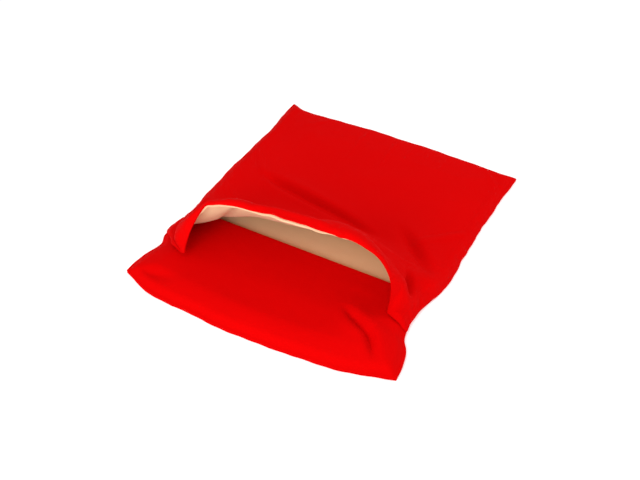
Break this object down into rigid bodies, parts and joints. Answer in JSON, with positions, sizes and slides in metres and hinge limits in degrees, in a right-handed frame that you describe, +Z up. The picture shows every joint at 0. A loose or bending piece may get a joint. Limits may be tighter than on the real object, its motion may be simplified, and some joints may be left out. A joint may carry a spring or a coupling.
{
  "type": "microwave potato bag",
  "caption": "Flat sewn cooking pouch of padded cloth, lying down, with a tucked lower flap and an arched mouth held open over a pocket.",
  "frame": {"origin": "middle of the bag on its underside, where it rests on the floor", "axes": "+X across the bag, +Y from the front edge with the flap to the back seam, +Z up"},
  "size_m": [0.2, 0.2566, 0.0593],
  "materials": {
    "back_panel_cloth": "red woven cotton cloth, matt",
    "back_lining_cloth": "cream padded lining cloth, matt",
    "lower_flap_cloth": "red woven cotton cloth, matt",
    "flap_lining_cloth": "cream padded lining cloth, matt",
    "front_panel_cloth": "red woven cotton cloth, matt",
    "front_lining_cloth": "cream padded lining cloth, matt"
  },
  "bodies": {
    "root": {"back_panel": "back_panel_cloth", "back_lining": "back_lining_cloth", "lower_flap": "lower_flap_cloth", "flap_lining": "flap_lining_cloth", "front_panel": "front_panel_cloth", "front_lining": "front_lining_cloth"}
  },
  "joints": []
}
